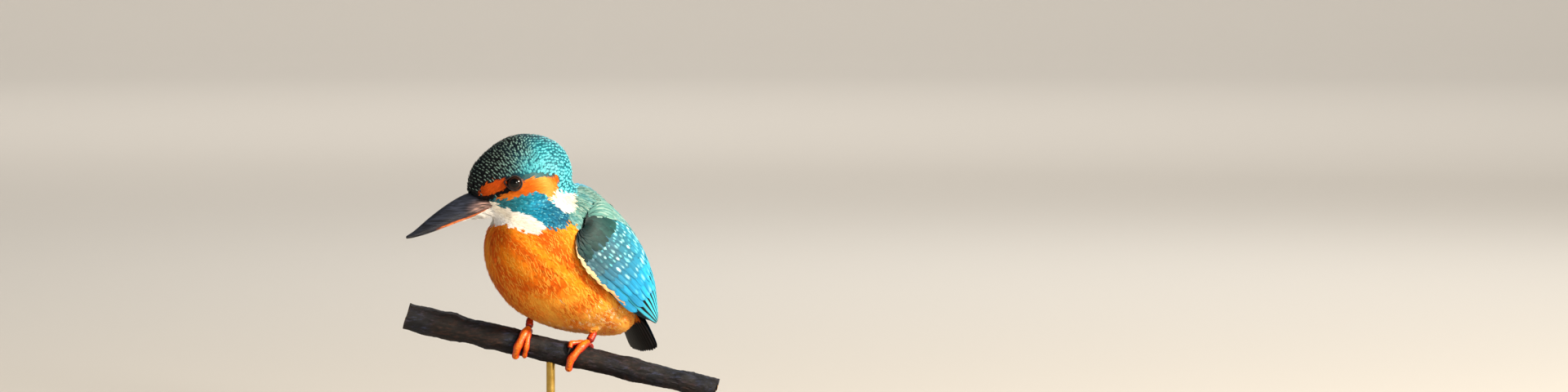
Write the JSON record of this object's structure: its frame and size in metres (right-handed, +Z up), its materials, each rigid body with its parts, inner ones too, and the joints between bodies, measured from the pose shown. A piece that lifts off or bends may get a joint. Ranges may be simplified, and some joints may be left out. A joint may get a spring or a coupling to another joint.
{
  "type": "kingfisher",
  "caption": "Perched common kingfisher with folded wings and lowered bill, gripping a cut twig held by a rod on a round base.",
  "frame": {"origin": "centre of the display base's underside, on the ground", "axes": "+Z up; the perch runs along X and slants down towards +X; the bird faces -X, its body turned 42 degrees and its head 12 degrees from -X towards -Y, so that its left side and breast are seen from -Y"},
  "size_m": [0.1445, 0.092, 0.1525],
  "materials": {
    "crown_feathers": "dark teal barred with turquoise, silky",
    "neck_feathers": "white throat and grey-green nape, silky",
    "belly_feathers": "warm orange, downy",
    "wing_feathers": "blue-green with bright spots, silky",
    "tail_feathers": "blue-black, silky",
    "bill_horn": "slate black horn, satin",
    "eye_gloss": "very dark brown, wet gloss",
    "leg_skin": "orange-red scaly skin",
    "claw_horn": "near black horn",
    "twig_bark": "dark rough bark",
    "stand_wood": "turned wood, satin varnish",
    "stand_brass": "satin brass"
  },
  "bodies": {
    "root": {"bill_lower": "bill_horn", "bill_upper": "bill_horn", "claw_front_left": "claw_horn", "claw_front_right": "claw_horn", "claw_hind_left": "claw_horn", "claw_hind_right": "claw_horn", "claw_inner_left": "claw_horn", "claw_inner_right": "claw_horn", "eye_left": "eye_gloss", "eye_right": "eye_gloss", "head": "crown_feathers", "neck": "neck_feathers", "perch": "twig_bark", "shank_left": "leg_skin", "shank_right": "leg_skin", "stand_base": "stand_wood", "stand_rod": "stand_brass", "tail": "tail_feathers", "thigh_left": "belly_feathers", "thigh_right": "belly_feathers", "toe_front_left": "leg_skin", "toe_front_right": "leg_skin", "toe_hind_left": "leg_skin", "toe_hind_right": "leg_skin", "toe_inner_left": "leg_skin", "toe_inner_right": "leg_skin", "trunk": "belly_feathers", "wing_left": "wing_feathers", "wing_right": "wing_feathers"}
  },
  "joints": []
}
